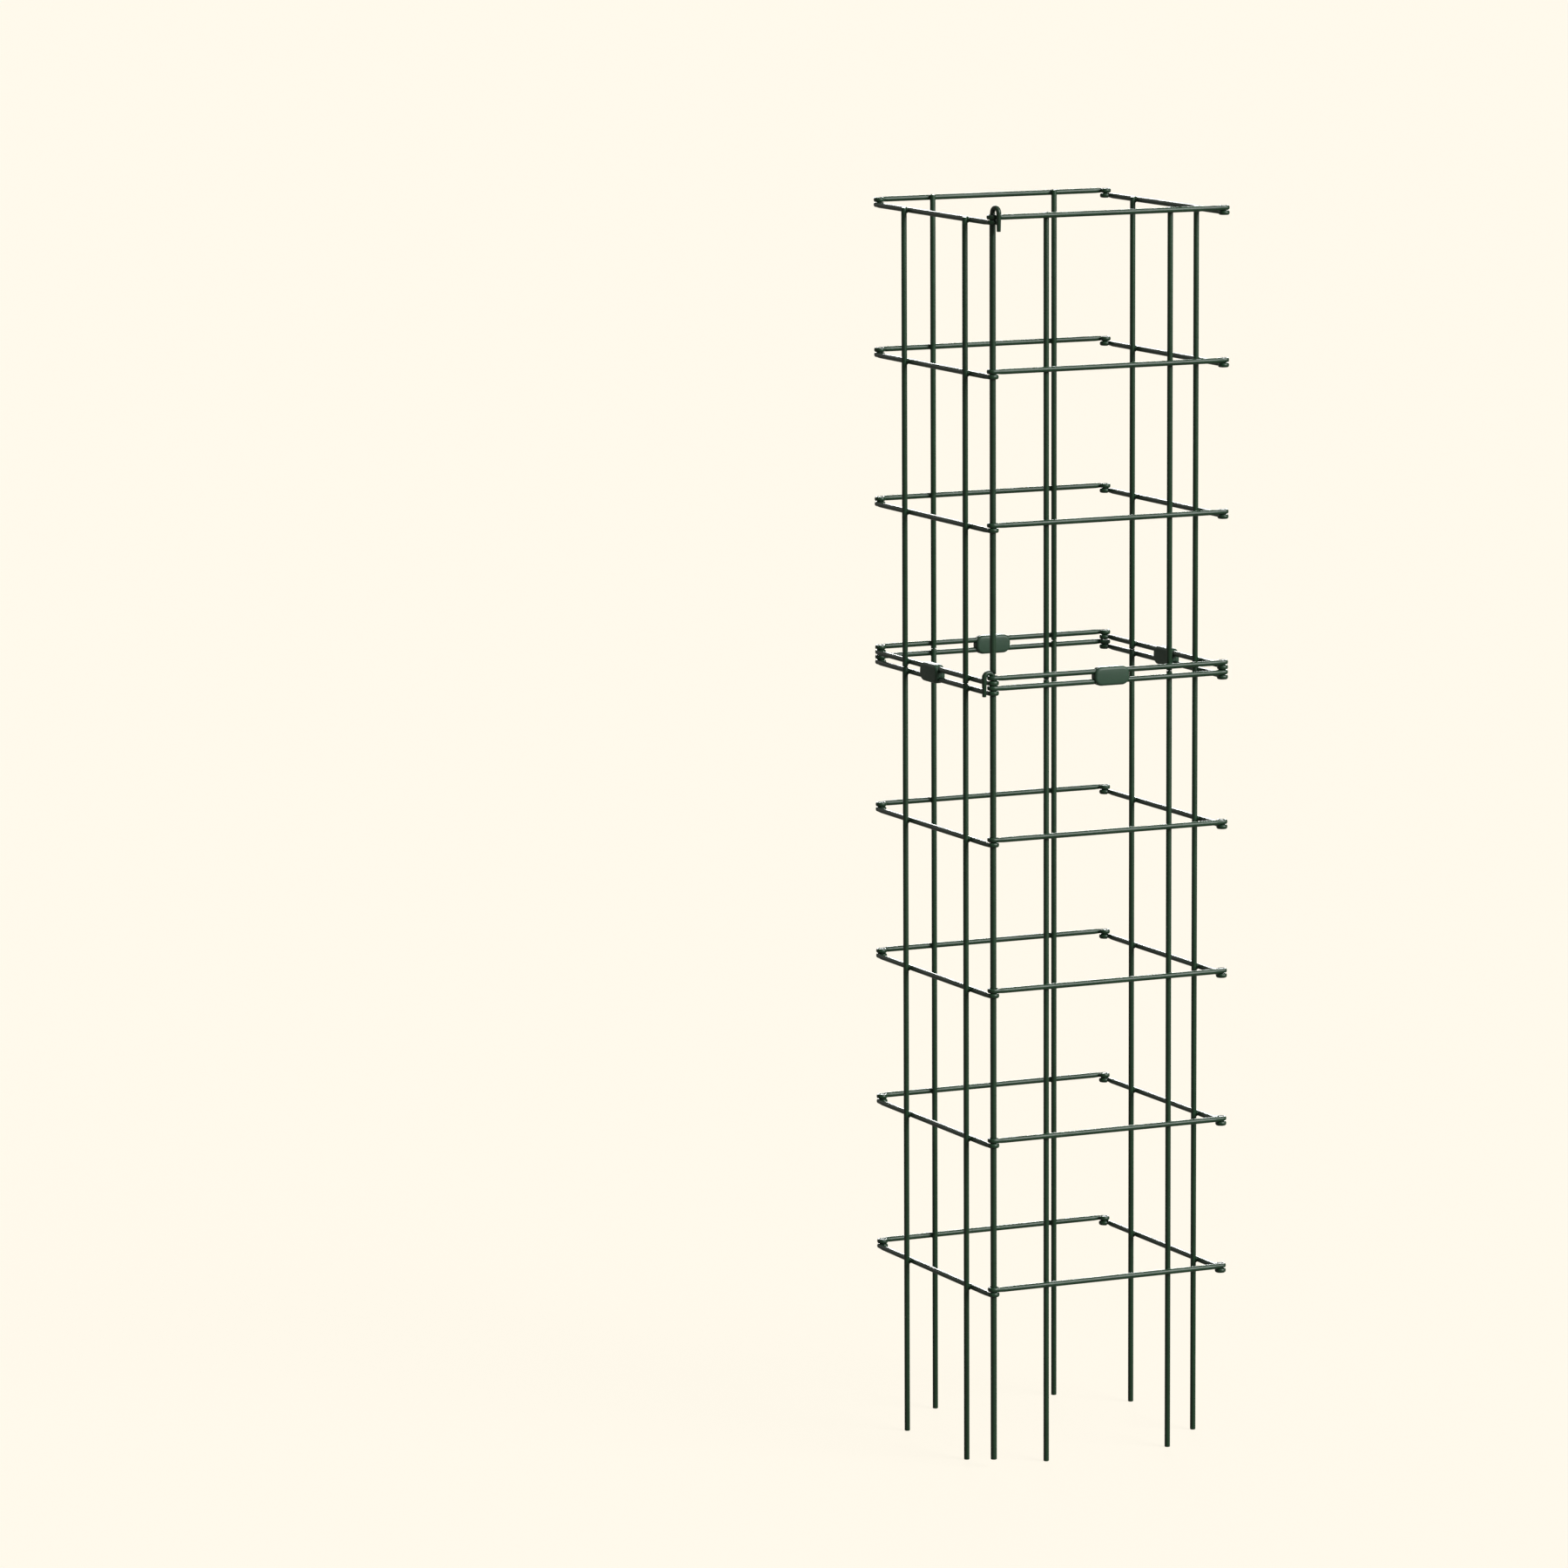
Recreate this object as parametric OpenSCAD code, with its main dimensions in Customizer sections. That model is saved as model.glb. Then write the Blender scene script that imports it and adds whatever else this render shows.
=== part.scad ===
// Square folding tomato cage: two stacked wire sections, corner eyes, corner pins and rail clips

/* [Cage] */
// Distance between the axes of neighbouring corners
cage_width = 305; // [280:1:360]
// Height from one ring of rails to the next in a section
ring_pitch = 180.4; // [140:0.1:220]
// Number of rings in the upper section
upper_rings = 4; // [3:1:6]
// Number of rings in the lower section
lower_rings = 5; // [3:1:6]
// Height of the lowest front rail above the leg tips
leg_length = 217; // [150:1:300]

/* [Wire] */
// Diameter of the horizontal rails
rail_diameter = 6.4; // [6:0.1:6.8]
// Diameter of the upright stays
stay_diameter = 6.6; // [5:0.1:7.5]
// Distance between the two stays of a panel
stay_spacing = 163.5; // [140:0.5:180]
// How far the left panel's stays sit towards the pin corner
left_stagger = 20.3; // [0:0.1:25]
// How far the right panel's stays sit towards the front
right_stagger = 4; // [0:0.1:20]
// Depth that crossing wires melt into each other at a weld
weld_sink = 0.25; // [0.1:0.05:0.4]
// Bevel around the cut ends of stays and pins
tip_bevel = 0.7; // [0.3:0.1:1.5]
// Gap between the butted ends of upper and lower stays
butt_gap = 0.3; // [0.2:0.1:1]

/* [Corner eyes] */
// Diameter of the rivet through each hinged pair of eyes
rivet_diameter = 5.6; // [5:0.1:6]
// Radial thickness of the flattened wire in a hinged eye
eye_wall = 3.8; // [3.4:0.1:4.2]
// Radial thickness of the flattened wire in a pin eye
pin_eye_wall = 3.3; // [3:0.1:3.8]
// Height of an eye as a share of the rail diameter
eye_height_share = 0.84; // [0.78:0.01:0.88]
// Turn of an eye past the point where the rail touches it
eye_turn = 276; // [240:1:285]
// Turn of an eye that lies inside the straight rail
eye_overlap_turn = 12; // [8:1:16]
// Gap between two stacked eyes
stack_gap = 0.6; // [0.5:0.05:0.9]
// How much less a rail end is pressed than its eye, on each face
press_step = 0.1; // [0.05:0.05:0.15]
// Length of a pressed rail end past the eye stacked on it
press_margin = 0.8; // [0.6:0.1:2]
// Length of the ramp from the round rail to its pressed end
press_ramp = 3; // [2:0.5:6]
// Radial play of a rivet or a pin in its eyes
running_clearance = 0.08; // [0.03:0.01:0.1]
// Radial relief of the rail end behind an eye's bore
bore_relief = 0.4; // [0.35:0.05:0.6]
// Depth of a rivet's ends below the eye faces
rivet_recess = 0.3; // [0.2:0.1:0.6]
// Height of a rivet's peened end
peen_height = 1; // [0.6:0.1:1.2]
// Radial flare of a rivet's peened end
peen_flare = 0.25; // [0.1:0.05:0.3]

/* [Corner pins] */
// Diameter of the two corner pins
pin_diameter = 7.4; // [6.6:0.1:7.8]
// Diameter of the bent wire in a pin's crook
crook_diameter = 6; // [5:0.1:6.4]
// Diameter of the tip of a crook's short leg
crook_tip_diameter = 4.9; // [4:0.1:5]
// Lip of a pin's legs around the ends of the bend
bend_lip = 0.05; // [0.04:0.01:0.1]
// Length of the neck from the pin to its crook
neck_length = 4; // [2:0.5:8]
// Turn of the upper crook towards the right of straight ahead
upper_crook_turn = 12; // [0:1:20]
// Gap between a crook's short leg and the rails
crook_clearance = 0.5; // [0.5:0.1:1.5]
// Gap between the lower crook and the eye under it
seat_gap = 0.5; // [0.4:0.1:1]
// Height of the upper crook above the top front rail
upper_crook_rise = 14; // [12:0.5:25]
// Reach of the upper crook's short leg below the top front rail
upper_crook_reach = 16.4; // [8:0.1:40]
// Reach of the lower crook's short leg below the joining rail
lower_crook_reach = 22; // [8:0.1:40]
// Height of the lower pin's tip above the leg tips
pin_tip_height = 10; // [2:1:60]
// Gap between the upper pin's foot and the lower crook
pin_rest_gap = 0.3; // [0.3:0.1:1]
// Reach of the upper pin's hollowed foot below the lower crook's top
pin_foot_reach = 4.7; // [3:0.1:5]

/* [Clips] */
// Length of a clip along the rails
clip_length = 46; // [40:0.5:50]
// Height of a clip across its two rails
clip_height = 22.5; // [22:0.5:30]
// Depth of both clip halves together
clip_depth = 13; // [11.5:0.5:16]
// Corner radius of a clip seen from the front
clip_corner = 9.5; // [4:0.5:10]
// Radius along a clip's outer edges
clip_edge = 3.5; // [2:0.5:4.5]
// Gap between the two halves of a clip
clip_part_gap = 0.3; // [0.2:0.1:0.6]
// Radial play of the clip's grooves around the rails
grip_clearance = 0.1; // [0.05:0.01:0.1]
// Diameter of a clip's snap pegs
peg_diameter = 3.6; // [3:0.1:3.8]
// Distance between the two snap pegs
peg_spacing = 22; // [16:0.5:26]
// Length of a snap peg past the parting face
peg_length = 3.6; // [2:0.1:4]
// Radial play of a snap peg in its socket
peg_clearance = 0.06; // [0.03:0.01:0.1]
// Depth of a socket past the peg's end
socket_depth = 0.6; // [0.4:0.1:0.8]

/* [Colours] */
// Plastic coating of the wires
wire_colour = "#22423a";
// Plastic coating of the corner pins
pin_colour = "#1e3a34";
// Plated steel of the rivets
rivet_colour = "#39423f";
// Moulded plastic of the clips
clip_colour = "#3c5342";

/* [Quality] */
// Facets of a full circle
facets = 64; // [32:8:128]

/* [Hidden] */
$fn = facets;
// Overrun of every cut past the faces it opens
cut_over = 1;

rail_radius = rail_diameter / 2;
stay_radius = stay_diameter / 2;
pin_radius = pin_diameter / 2;
crook_wire_radius = crook_diameter / 2;
crook_tip_radius = crook_tip_diameter / 2;
rivet_radius = rivet_diameter / 2;
peg_radius = peg_diameter / 2;
half_width = cage_width / 2;

eye_height = rail_diameter * eye_height_share;
stack_pitch = eye_height + stack_gap;
hinge_bore = rivet_radius + running_clearance;
pin_bore = pin_radius + running_clearance;
rail_offset = hinge_bore + eye_wall / 2;
press_length = max(hinge_bore + eye_wall, pin_bore + pin_eye_wall) + press_margin;
press_height = eye_height / 2 + press_step;

stay_inside = -rail_offset + rail_radius + stay_radius - weld_sink;
stay_outside = -rail_offset - rail_radius - stay_radius + weld_sink;

crook_spacing = rail_offset + rail_radius + crook_clearance + crook_wire_radius;
crook_radius = crook_spacing / 2;

lower_top = leg_length + ring_pitch * (lower_rings - 1);
joint_height = lower_top + 2 * stack_pitch;
cage_top = joint_height + ring_pitch * (upper_rings - 1);
clip_height_at = joint_height - stack_pitch;

lower_crook_top = joint_height + eye_height / 2 + seat_gap + crook_diameter;
lower_bend_height = lower_crook_top - crook_radius - crook_wire_radius;
pin_rest_radius = crook_radius + crook_wire_radius + pin_rest_gap;
upper_pin_foot = lower_crook_top - pin_foot_reach;
upper_crook_top = cage_top + upper_crook_rise;

// Shift that puts the middle of the overall footprint over the origin
frame_shift = (crook_spacing + crook_wire_radius - rail_offset - clip_depth / 2) / 2;

groove_radius = rail_radius + grip_clearance;
socket_radius = peg_radius + peg_clearance;

// Turn of a panel from the front, counted to the right
function panel_turn(panel) = panel == "front" ? 0 : panel == "right" ? 90 : panel == "back" ? 180 : 270;

// The right and left panels hang one eye lower than the front and back
function panel_drop(panel) = panel == "front" || panel == "back" ? 0 : stack_pitch;

// The left panel's stays are welded to the outer side of its rails
function stay_depth(panel) = panel == "left" ? stay_outside : stay_inside;

// Sideways shift of a panel's stays along its rails
function stay_shift(panel) = panel == "left" ? left_stagger : panel == "right" ? -right_stagger : 0;

// Part to draw

// Places a panel's own frame: rails along x, outer side towards -y
module on_panel(panel) {
    translate([frame_shift, frame_shift, 0])
        rotate([0, 0, panel_turn(panel)])
            translate([0, -half_width, 0])
                children();
}

// Places the axis of the pin corner, front left
module on_pin_corner() {
    translate([frame_shift - half_width, frame_shift - half_width, 0])
        children();
}

// Cross-section of the flattened wire in an eye
module eye_section(wall) {
    flat = eye_height - wall;
    square([wall, flat], center = true);
    translate([0, flat / 2])
        circle(d = wall);
    translate([0, -flat / 2])
        circle(d = wall);
}

// Eye curled from a rail that arrives from -x
module eye(bore, wall) {
    rotate([0, 0, -90 - eye_overlap_turn])
        rotate_extrude(angle = eye_turn + eye_overlap_turn)
            translate([bore + wall / 2, 0])
                eye_section(wall);
}

// Block over one face of a pressed rail end, with a ramp up to the round rail
module press() {
    translate([0, -rail_offset + rail_diameter, 0])
        rotate([90, 0, 0])
            linear_extrude(2 * rail_diameter)
                polygon([
                    [half_width - press_length - press_ramp, rail_radius],
                    [half_width - press_length, press_height],
                    [half_width + cut_over, press_height],
                    [half_width + cut_over, rail_diameter],
                    [half_width - press_length - press_ramp, rail_diameter],
                ]);
}

// Straight part of a rail, pressed flat at both ends and relieved behind both bores
module rail_bar(start_bore, end_bore) {
    difference() {
        translate([-half_width, -rail_offset, 0])
            rotate([0, 90, 0])
                cylinder(h = cage_width, r = rail_radius);
        translate([-half_width, 0, -rail_diameter])
            cylinder(h = 2 * rail_diameter, r = start_bore + bore_relief);
        translate([half_width, 0, -rail_diameter])
            cylinder(h = 2 * rail_diameter, r = end_bore + bore_relief);
        for (end = [0, 1])
            for (face = [0, 1])
                mirror([end, 0, 0])
                    mirror([0, 0, face])
                        press();
    }
}

// One rail of a panel with an eye curled at each end
module rail(panel) {
    start_bore = panel == "front" ? pin_bore : hinge_bore;
    start_wall = panel == "front" ? pin_eye_wall : eye_wall;
    end_bore = panel == "left" ? pin_bore : hinge_bore;
    end_wall = panel == "left" ? pin_eye_wall : eye_wall;
    union() {
        rail_bar(start_bore, end_bore);
        translate([half_width, 0, 0])
            eye(end_bore, end_wall);
        translate([-half_width, 0, 0])
            mirror([1, 0, 0])
                eye(start_bore, start_wall);
    }
}

// A panel's rails, counted up from the lowest
module rails(panel, lowest, count) {
    color(wire_colour)
        on_panel(panel)
            for (ring = [0 : count - 1])
                translate([0, 0, lowest + ring_pitch * ring - panel_drop(panel)])
                    rail(panel);
}

// Upright wire with bevelled ends
module stay(from, to) {
    rotate_extrude()
        polygon([
            [0, from],
            [stay_radius - tip_bevel, from],
            [stay_radius, from + tip_bevel],
            [stay_radius, to - tip_bevel],
            [stay_radius - tip_bevel, to],
            [0, to],
        ]);
}

// The two stays of a panel
module stays(panel, from, to) {
    color(wire_colour)
        on_panel(panel)
            for (side = [-1, 1])
                translate([side * stay_spacing / 2 + stay_shift(panel), stay_depth(panel), 0])
                    stay(from, to);
}

module upper_stays(panel) {
    stays(
        panel,
        joint_height - panel_drop(panel) - stack_pitch + butt_gap / 2,
        cage_top - panel_drop(panel) + rail_radius
    );
}

module lower_stays(panel) {
    stays(panel, 0, joint_height - panel_drop(panel) - stack_pitch - butt_gap / 2);
}

// Rivet with peened ends through one hinged pair of eyes
module rivet() {
    top = eye_height / 2 - rivet_recess;
    foot = -stack_pitch - top;
    rotate_extrude()
        polygon([
            [0, foot],
            [rivet_radius + peen_flare, foot],
            [rivet_radius, foot + peen_height],
            [rivet_radius, top - peen_height],
            [rivet_radius + peen_flare, top],
            [0, top],
        ]);
}

// The rivets of one corner, at the end of the panel before it
module rivets(panel, lowest, count) {
    color(rivet_colour)
        on_panel(panel)
            for (ring = [0 : count - 1])
                translate([half_width, 0, lowest + ring_pitch * ring])
                    rivet();
}

// Long leg of a pin, bevelled at the foot and necked below the crook
module long_leg(foot, top) {
    rotate_extrude()
        polygon([
            [0, foot],
            [pin_radius - tip_bevel, foot],
            [pin_radius, foot + tip_bevel],
            [pin_radius, top - neck_length],
            [crook_wire_radius + bend_lip, top],
            [crook_wire_radius - bend_lip, top + bend_lip],
            [0, top + bend_lip],
        ]);
}

// Short leg of a crook, drawn thinner towards its bevelled tip
module short_leg(tip, top) {
    rotate_extrude()
        polygon([
            [0, tip],
            [crook_tip_radius - tip_bevel, tip],
            [crook_tip_radius, tip + tip_bevel],
            [crook_wire_radius + bend_lip, top],
            [crook_wire_radius - bend_lip, top + bend_lip],
            [0, top + bend_lip],
        ]);
}

// Straight pin with a half-round crook towards -y and a short leg
module crooked_pin(foot, top, short_end) {
    bend_height = top - crook_radius - crook_wire_radius;
    long_leg(foot, bend_height);
    translate([0, -crook_radius, bend_height])
        rotate([90, 0, 90])
            rotate_extrude(angle = 180)
                translate([crook_radius, 0])
                    circle(r = crook_wire_radius);
    translate([0, -crook_spacing, 0])
        short_leg(short_end, bend_height);
}

// Round hollow that fits the upper pin's foot over the bend of the lower crook
module foot_hollow() {
    translate([-crook_radius, 0, lower_bend_height])
        rotate([90, 0, 0])
            cylinder(h = 2 * pin_diameter, r = pin_rest_radius, center = true);
}

module upper_pin() {
    color(pin_colour)
        on_pin_corner()
            difference() {
                rotate([0, 0, upper_crook_turn])
                    crooked_pin(upper_pin_foot, upper_crook_top, cage_top - upper_crook_reach);
                foot_hollow();
            }
}

module lower_pin() {
    color(pin_colour)
        on_pin_corner()
            rotate([0, 0, -90])
                crooked_pin(pin_tip_height, lower_crook_top, joint_height - lower_crook_reach);
}

// Rectangle with rounded corners, centred
module rounded_plate(size, radius) {
    square([size.x - 2 * radius, size.y], center = true);
    square([size.x, size.y - 2 * radius], center = true);
    for (x = [-1, 1])
        for (y = [-1, 1])
            translate([x * (size.x / 2 - radius), y * (size.y / 2 - radius)])
                circle(r = radius);
}

// Pillow of both clip halves, centred on the parting face
module clip_pillow() {
    intersection() {
        rotate([90, 0, 0])
            linear_extrude(clip_depth + 2 * cut_over, center = true)
                rounded_plate([clip_length, clip_height], clip_corner);
        linear_extrude(clip_height + 2 * cut_over, center = true)
            rounded_plate([clip_length, clip_depth], clip_edge);
        rotate([90, 0, 90])
            linear_extrude(clip_length + 2 * cut_over, center = true)
                rounded_plate([clip_depth, clip_height], clip_edge);
    }
}

// Pillow on the -y side of the parting face, grooved for its two rails
module clip_half() {
    difference() {
        clip_pillow();
        translate([-clip_length, -clip_part_gap / 2, -clip_height])
            cube([2 * clip_length, clip_depth, 2 * clip_height]);
        for (side = [-1, 1])
            translate([-clip_length, 0, side * stack_pitch])
                rotate([0, 90, 0])
                    cylinder(h = 2 * clip_length, r = groove_radius);
    }
}

// Outer half with two snap pegs
module clip_outer(panel) {
    color(clip_colour)
        on_panel(panel)
            translate([0, -rail_offset, clip_height_at - panel_drop(panel)])
                union() {
                    clip_half();
                    for (side = [-1, 1])
                        translate([side * peg_spacing / 2, -clip_part_gap / 2 - cut_over, 0])
                            rotate([-90, 0, 0])
                                cylinder(h = peg_length + clip_part_gap + cut_over, r = peg_radius);
                }
}

// Inner half with the sockets of the snap pegs
module clip_inner(panel) {
    color(clip_colour)
        on_panel(panel)
            translate([0, -rail_offset, clip_height_at - panel_drop(panel)])
                difference() {
                    mirror([0, 1, 0])
                        clip_half();
                    for (side = [-1, 1])
                        translate([side * peg_spacing / 2, -cut_over, 0])
                            rotate([-90, 0, 0])
                                cylinder(h = peg_length + socket_depth + cut_over, r = socket_radius);
                }
}

rails("front", joint_height, upper_rings);  // upper_front_rails
rails("right", joint_height, upper_rings);  // upper_right_rails
rails("back", joint_height, upper_rings);  // upper_back_rails
rails("left", joint_height, upper_rings);  // upper_left_rails
rails("front", leg_length, lower_rings);  // lower_front_rails
rails("right", leg_length, lower_rings);  // lower_right_rails
rails("back", leg_length, lower_rings);  // lower_back_rails
rails("left", leg_length, lower_rings);  // lower_left_rails
upper_stays("front");  // upper_front_stays
upper_stays("right");  // upper_right_stays
upper_stays("back");  // upper_back_stays
upper_stays("left");  // upper_left_stays
lower_stays("front");  // lower_front_stays
lower_stays("right");  // lower_right_stays
lower_stays("back");  // lower_back_stays
lower_stays("left");  // lower_left_stays
rivets("front", joint_height, upper_rings);  // upper_front_right_rivets
rivets("right", joint_height, upper_rings);  // upper_back_right_rivets
rivets("back", joint_height, upper_rings);  // upper_back_left_rivets
rivets("front", leg_length, lower_rings);  // lower_front_right_rivets
rivets("right", leg_length, lower_rings);  // lower_back_right_rivets
rivets("back", leg_length, lower_rings);  // lower_back_left_rivets
upper_pin();
lower_pin();
clip_outer("front");  // front_clip_outer
clip_inner("front");  // front_clip_inner
clip_outer("right");  // right_clip_outer
clip_inner("right");  // right_clip_inner
clip_outer("back");  // back_clip_outer
clip_inner("back");  // back_clip_inner
clip_outer("left");  // left_clip_outer
clip_inner("left");  // left_clip_inner
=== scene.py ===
"""Folding tomato cage: coated wires, corner pins, rivets and clips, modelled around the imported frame."""

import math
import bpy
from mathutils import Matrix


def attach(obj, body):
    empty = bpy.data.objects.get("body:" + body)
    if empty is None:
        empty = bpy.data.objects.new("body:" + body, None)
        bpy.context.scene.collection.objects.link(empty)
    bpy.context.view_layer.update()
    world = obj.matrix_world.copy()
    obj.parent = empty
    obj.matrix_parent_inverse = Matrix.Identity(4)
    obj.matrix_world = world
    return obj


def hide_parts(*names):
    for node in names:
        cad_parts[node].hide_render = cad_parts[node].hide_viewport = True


bl_info = {
    "name": "Tomato Cage",
    "version": (1, 0, 0),
    "blender": (4, 5, 0),
    "location": "View3D > Sidebar > Tomato Cage",
    "description": "Models the coated wires, corner pins, rivets and clips of a folding tomato cage",
    "category": "Object",
}

import bpy
from mathutils import Matrix, Vector

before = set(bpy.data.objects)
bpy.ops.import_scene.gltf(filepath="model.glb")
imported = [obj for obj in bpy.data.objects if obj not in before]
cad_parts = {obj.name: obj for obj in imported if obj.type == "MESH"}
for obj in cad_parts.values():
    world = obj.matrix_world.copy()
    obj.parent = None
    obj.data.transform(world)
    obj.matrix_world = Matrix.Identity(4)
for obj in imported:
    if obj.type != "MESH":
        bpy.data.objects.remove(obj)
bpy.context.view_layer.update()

MM = 0.001
PANELS = ("front", "right", "back", "left")
SECTIONS = ("upper", "lower")
HINGE_CORNERS = {"front_right": "front", "back_right": "right", "back_left": "back"}
WIRE_SIDES = 24
SMOOTH_ANGLE = math.radians(40)
NEAR = 0.01 * MM
# Mean roughness of the coat on the wires, on the pins and over the welds
WIRE_ROUGHNESS, PIN_ROUGHNESS, WELD_ROUGHNESS = 0.38, 0.37, 0.48
# Size of a weld's bead as shares of the stay, the stay and the rail
BEAD_SHARES = (0.63, 0.3, 0.62)
# Rise in millimetres and change of size at each step over a rivet's peened end
PEEN_STEPS = ((0.35, 1.05), (0.25, 1.02), (0.2, 0.9), (0.12, 0.7), (0.08, 0.5))
# Name, turn and spread in degrees, and strength setting of each lamp
LAMPS = (
    ("key_light", (60, 0, 32), 40, "key_strength"),
    ("top_light", (8, 0, 0), 50, "top_strength"),
    ("back_light", (78, 0, 155), 20, "back_strength"),
    ("side_light", (68, 0, 205), 40, "side_strength"),
)
LAMP_HEIGHT = 4
FLOOR_RADIUS, FLOOR_SIDES, FLOOR_DROP = 90, 96, 0.5 * MM
# Most of the floor's tone is its own glow; the rest takes the object's shadow
GLOW_SHARE, GLOW_STRENGTH = 0.9, 1.014
SENSOR_WIDTH, VIEW_DEPTH = 36, 400


def linear(hex_code):
    """Turns an sRGB hex colour into linear RGBA."""
    shares = [int(hex_code[i : i + 2], 16) / 255 for i in (1, 3, 5)]
    return [s / 12.92 if s <= 0.04045 else ((s + 0.055) / 1.055) ** 2.4 for s in shares] + [1.0]


def length(name, description, millimetres):
    """A length property, given in millimetres."""
    return bpy.props.FloatProperty(
        name=name, description=description, default=millimetres * MM, unit="LENGTH", precision=5
    )


def colour(name, description, hex_code):
    """A colour property, given as sRGB hex."""
    return bpy.props.FloatVectorProperty(
        name=name, description=description, default=linear(hex_code), size=4, subtype="COLOR", min=0, max=1
    )


def angle(name, description, degrees):
    """An angle property, given in degrees."""
    return bpy.props.FloatProperty(
        name=name, description=description, default=math.radians(degrees), subtype="ANGLE"
    )


def strength(name, description, level):
    """A property for the strength of a light."""
    return bpy.props.FloatProperty(name=name, description=description, default=level, min=0)


class CageWireSizes(bpy.types.PropertyGroup):
    """Sizes of the welded wire panels."""

    width: length("Width", "Distance between the axes of neighbouring corners", 305)
    frame_shift: length("Frame shift", "Offset of the wire square from the origin", 1.6)
    leg: length("Leg", "Height of the lowest front rail", 217)
    ring_pitch: length("Ring pitch", "Height from one ring of rails to the next", 180.4)
    stack_pitch: length("Stack pitch", "Height from one eye to the eye stacked on it", 5.976)
    rail: length("Rail", "Diameter of the rails", 6.4)
    stay: length("Stay", "Diameter of the stays", 6.6)
    rail_offset: length("Rail offset", "Distance of the rails outside the corner axes", 4.78)
    stay_spacing: length("Stay spacing", "Distance between the two stays of a panel", 163.5)
    left_stagger: length("Left stagger", "Shift of the left panel's stays to the pin corner", 20.3)
    right_stagger: length("Right stagger", "Shift of the right panel's stays to the front", 4)
    weld_sink: length("Weld sink", "Depth that crossing wires melt into each other", 0.25)
    butt_gap: length("Butt gap", "Gap between upper and lower stays", 0.3)
    tip_bevel: length("Tip bevel", "Rounding of the cut wire ends", 0.7)
    eye_height: length("Eye height", "Height of the flattened wire in an eye", 5.376)
    hinge_eye_wall: length("Hinge eye wall", "Radial thickness of a hinged eye", 3.8)
    hinge_eye_radius: length("Hinge eye radius", "Radius to the middle of a hinged eye's wire", 4.78)
    pin_eye_wall: length("Pin eye wall", "Radial thickness of a pin eye", 3.3)
    pin_eye_radius: length("Pin eye radius", "Radius to the middle of a pin eye's wire", 5.43)
    eye_turn: angle("Eye turn", "How far an eye curls round", 276)
    rivet: length("Rivet", "Diameter of the rivets", 5.6)
    rivet_recess: length("Rivet recess", "Depth of the rivet ends below the eyes", 0.3)


class CagePinSizes(bpy.types.PropertyGroup):
    """Sizes of the two corner pins."""

    pin: length("Pin", "Diameter of the pins", 7.4)
    crook: length("Crook", "Diameter of the bent wire in a crook", 6)
    crook_tip: length("Crook tip", "Diameter of a short leg's tip", 4.9)
    crook_spacing: length("Crook spacing", "Distance between the legs of a crook", 11.48)
    neck: length("Neck", "Length of the neck below a crook", 4)
    seat_gap: length("Seat gap", "Gap between the lower crook and its eye", 0.5)
    rest_gap: length("Rest gap", "Gap between the upper pin and the lower crook", 0.3)
    foot_reach: length("Foot reach", "Reach of the upper pin's foot below the lower crook's top", 4.7)
    upper_rise: length("Upper rise", "Height of the upper crook above the top rail", 14)
    upper_reach: length("Upper reach", "Reach of the upper short leg below the top rail", 16.4)
    lower_reach: length("Lower reach", "Reach of the lower short leg below its rail", 22)
    tip_height: length("Tip height", "Height of the lower pin's tip", 10)
    upper_turn: angle("Upper turn", "Turn of the upper crook from straight ahead", 12)


class CageClipSizes(bpy.types.PropertyGroup):
    """Sizes of the snap clips."""

    length: length("Length", "Length along the rails", 46)
    height: length("Height", "Height across the two rails", 22.5)
    depth: length("Depth", "Depth of both halves", 13)
    corner: length("Corner", "Corner radius seen from the front", 9.5)
    edge: length("Edge", "Radius of the outer edge", 3.5)
    part_gap: length("Part gap", "Gap between the halves", 0.3)
    grip: length("Grip", "Play of the grooves round the rails", 0.1)
    peg: length("Peg", "Diameter of the snap pegs", 3.6)
    peg_spacing: length("Peg spacing", "Distance between the pegs", 22)
    peg_length: length("Peg length", "Length of the pegs", 3.6)
    peg_play: length("Peg play", "Play of the pegs in their sockets", 0.06)
    socket_depth: length("Socket depth", "Depth of a socket past its peg", 0.6)


class CageFinishes(bpy.types.PropertyGroup):
    """Colours of the object's materials."""

    coat: colour("Wire coat", "Dark green plastic coat of the wires", "#203f28")
    coat_dark: colour("Wire coat shade", "Deeper tone in the coat", "#1b3722")
    pin_coat: colour("Pin coat", "Plastic coat of the corner pins", "#1f3b26")
    pin_coat_dark: colour("Pin coat shade", "Deeper tone in the pin coat", "#1a3320")
    clip: colour("Clip", "Moulded green plastic of the clips", "#2f4c39")
    clip_dark: colour("Clip shade", "Deeper tone in the clip plastic", "#2a4432")
    zinc: colour("Rivet zinc", "Dull zinc on the rivets", "#5c6662")
    cut_steel: colour("Cut steel", "Bare cut end of a wire", "#5b5148")
    rust: colour("Rust", "Rust bloom on a cut end", "#6a4630")


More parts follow.
